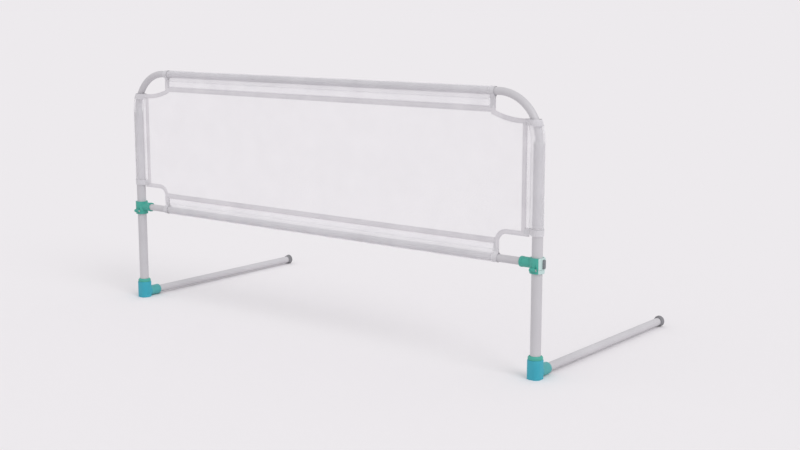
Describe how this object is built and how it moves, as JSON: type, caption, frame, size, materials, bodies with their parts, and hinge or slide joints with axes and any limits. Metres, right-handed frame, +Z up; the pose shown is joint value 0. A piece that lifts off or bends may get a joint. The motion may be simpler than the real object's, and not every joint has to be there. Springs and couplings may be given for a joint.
{
  "type": "folding bed guard rail",
  "caption": "Folding bed guard rail: a tubular frame with a net cover that folds down on hinged legs held by long arms under the mattress.",
  "frame": {"origin": "bottom centre of the bounding box, on the floor midway between the two legs and midway from the hinge fronts to the arm ends", "axes": "+X along the guard, +Y from the guard towards the bed along the arms, +Z up"},
  "size_m": [1.2136, 0.56, 0.5804],
  "materials": {
    "tube": "light grey powder coat on steel tube",
    "hinge": "sea-green moulded plastic",
    "foot": "blue-green moulded plastic",
    "button": "mid-grey moulded plastic",
    "cap": "dark grey soft plastic",
    "bush": "pale grey plastic",
    "steel": "plain steel",
    "sleeve": "plain woven cloth",
    "binding": "binding tape",
    "net": "fine knitted net"
  },
  "bodies": {
    "stand": {"lower_upright_left": "tube", "lower_upright_right": "tube", "hinge_lower_left": "hinge", "hinge_lower_right": "hinge", "hinge_pin_left": "steel", "hinge_pin_right": "steel", "foot_collar_left": "hinge", "foot_collar_right": "hinge", "foot_plug_left": "bush", "foot_plug_right": "bush", "foot_screw_left": "steel", "foot_screw_right": "steel"},
    "guard": {"top_rail": "tube", "bottom_rail": "tube", "net_panel": "net", "top_sleeve": "sleeve", "bottom_sleeve": "sleeve", "top_binding": "binding", "bottom_binding": "binding", "upper_upright_left": "tube", "upper_upright_right": "tube", "elbow_bush_left": "bush", "elbow_bush_right": "bush", "hinge_upper_left": "hinge", "hinge_upper_right": "hinge", "button_housing_left": "bush", "button_housing_right": "bush", "side_sleeve_left": "sleeve", "side_sleeve_right": "sleeve", "side_binding_left": "binding", "side_binding_right": "binding", "upper_corner_tape_left": "binding", "upper_corner_tape_right": "binding", "lower_corner_tape_left": "binding", "lower_corner_tape_right": "binding", "button_spring_left": "steel", "button_spring_right": "steel"},
    "left_arm": {"foot_bracket_left": "foot", "support_arm_left": "tube", "arm_cap_left": "cap"},
    "left_button": {"release_button_left": "button"},
    "right_arm": {"foot_bracket_right": "foot", "support_arm_right": "tube", "arm_cap_right": "cap"},
    "right_button": {"release_button_right": "button"}
  },
  "joints": [
    {"name": "guard_fold", "type": "hinge", "parent": "stand", "child": "guard", "pos_m": [0, -0.276, 0.224], "axis": [1, 0, 0], "range_deg": [0, 180]},
    {"name": "left_arm_swivel", "type": "hinge", "parent": "stand", "child": "left_arm", "pos_m": [-0.589, -0.26, 0.0125], "axis": [0, 0, -1], "range_deg": [0, 90]},
    {"name": "left_button_press", "type": "slide", "parent": "guard", "child": "left_button", "axis": [1, 0, 0], "range_m": [0, 0.002], "stiffness_N_per_m": 800, "springref_m": -0.002, "deforming": ["button_spring_left"]},
    {"name": "right_arm_swivel", "type": "hinge", "parent": "stand", "child": "right_arm", "pos_m": [0.589, -0.26, 0.0125], "axis": [0, 0, 1], "range_deg": [0, 90]},
    {"name": "right_button_press", "type": "slide", "parent": "guard", "child": "right_button", "axis": [-1, 0, 0], "range_m": [0, 0.002], "stiffness_N_per_m": 800, "springref_m": -0.002, "deforming": ["button_spring_right"]}
  ]
}
